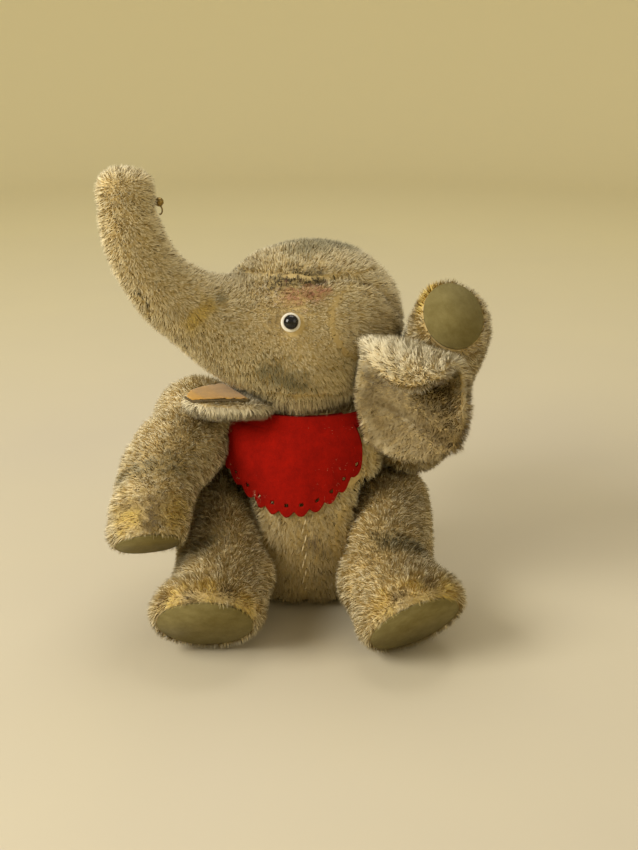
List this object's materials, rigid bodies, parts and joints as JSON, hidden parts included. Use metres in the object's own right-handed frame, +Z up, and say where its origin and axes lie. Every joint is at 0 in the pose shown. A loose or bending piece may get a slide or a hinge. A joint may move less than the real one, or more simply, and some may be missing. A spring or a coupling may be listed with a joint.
{
  "type": "stuffed elephant",
  "caption": "Jointed plush elephant that sits with its trunk raised: turning head and swinging arms and legs, felt pads and a felt bib.",
  "frame": {"origin": "on the seat, under the middle of the body", "axes": "+Z up, the body faces -Y, +X is the elephant's left"},
  "size_m": [0.1696, 0.1878, 0.2142],
  "materials": {
    "mohair": "woven backing with upright mohair pile, airbrushed",
    "stuffing": "kapok and wood-wool stuffing",
    "felt_grey": "short grey-olive wool felt",
    "felt_red": "red craft felt, matte",
    "felt_tan": "tan felt",
    "felt_white": "white felt",
    "fibre_board": "pressed fibre board",
    "steel": "zinc-plated steel",
    "glass_black": "polished black glass",
    "brass": "aged brass"
  },
  "bodies": {
    "torso": {"torso_skin": "mohair", "torso_stuffing": "stuffing", "tail": "mohair", "bib": "felt_red", "bib_band": "felt_red", "neck_pin": "steel", "arm_left_pin": "steel", "arm_right_pin": "steel", "leg_left_pin": "steel", "leg_right_pin": "steel", "neck_body_disc": "fibre_board", "arm_left_body_disc": "fibre_board", "arm_right_body_disc": "fibre_board", "leg_left_body_disc": "fibre_board", "leg_right_body_disc": "fibre_board", "neck_body_washer": "steel", "arm_left_body_washer": "steel", "arm_right_body_washer": "steel", "leg_left_body_washer": "steel", "leg_right_body_washer": "steel"},
    "head": {"head_skin": "mohair", "head_stuffing": "stuffing", "lower_lip": "mohair", "mouth_lining": "felt_tan", "neck_head_disc": "fibre_board", "neck_head_washer": "steel", "trunk_stud": "brass", "eye_left": "glass_black", "eye_right": "glass_black", "eye_ring_left": "felt_white", "eye_ring_right": "felt_white", "ear_left": "mohair", "ear_right": "mohair", "ear_lining_left": "mohair", "ear_lining_right": "mohair"},
    "arm_left": {"arm_left_skin": "mohair", "arm_left_stuffing": "stuffing", "arm_left_pad": "felt_grey", "arm_left_disc": "fibre_board", "arm_left_washer": "steel"},
    "arm_right": {"arm_right_skin": "mohair", "arm_right_stuffing": "stuffing", "arm_right_pad": "felt_grey", "arm_right_disc": "fibre_board", "arm_right_washer": "steel"},
    "leg_left": {"leg_left_skin": "mohair", "leg_left_stuffing": "stuffing", "leg_left_pad": "felt_grey", "leg_left_disc": "fibre_board", "leg_left_washer": "steel"},
    "leg_right": {"leg_right_skin": "mohair", "leg_right_stuffing": "stuffing", "leg_right_pad": "felt_grey", "leg_right_disc": "fibre_board", "leg_right_washer": "steel"}
  },
  "joints": [
    {"name": "neck_turn", "type": "hinge", "parent": "torso", "child": "head", "pos_m": [0, 0, 0.097], "axis": [0, 0, 1], "range_deg": [-12, 95], "deforming": ["ear_left", "ear_lining_left", "ear_right", "ear_lining_right"]},
    {"name": "arm_left_swing", "type": "hinge", "parent": "torso", "child": "arm_left", "pos_m": [0.035, 0, 0.084], "axis": [1, 0, 0], "range_deg": [-126, 10]},
    {"name": "arm_right_swing", "type": "hinge", "parent": "torso", "child": "arm_right", "pos_m": [-0.035, 0, 0.084], "axis": [1, 0, 0], "range_deg": [-62, 3], "deforming": ["lower_lip", "mouth_lining"]},
    {"name": "leg_left_swing", "type": "hinge", "parent": "torso", "child": "leg_left", "pos_m": [0.022, 0.002, 0.038], "axis": [1, 0, 0], "range_deg": [-5, 80]},
    {"name": "leg_right_swing", "type": "hinge", "parent": "torso", "child": "leg_right", "pos_m": [-0.022, 0.002, 0.038], "axis": [1, 0, 0], "range_deg": [-2, 80]}
  ]
}
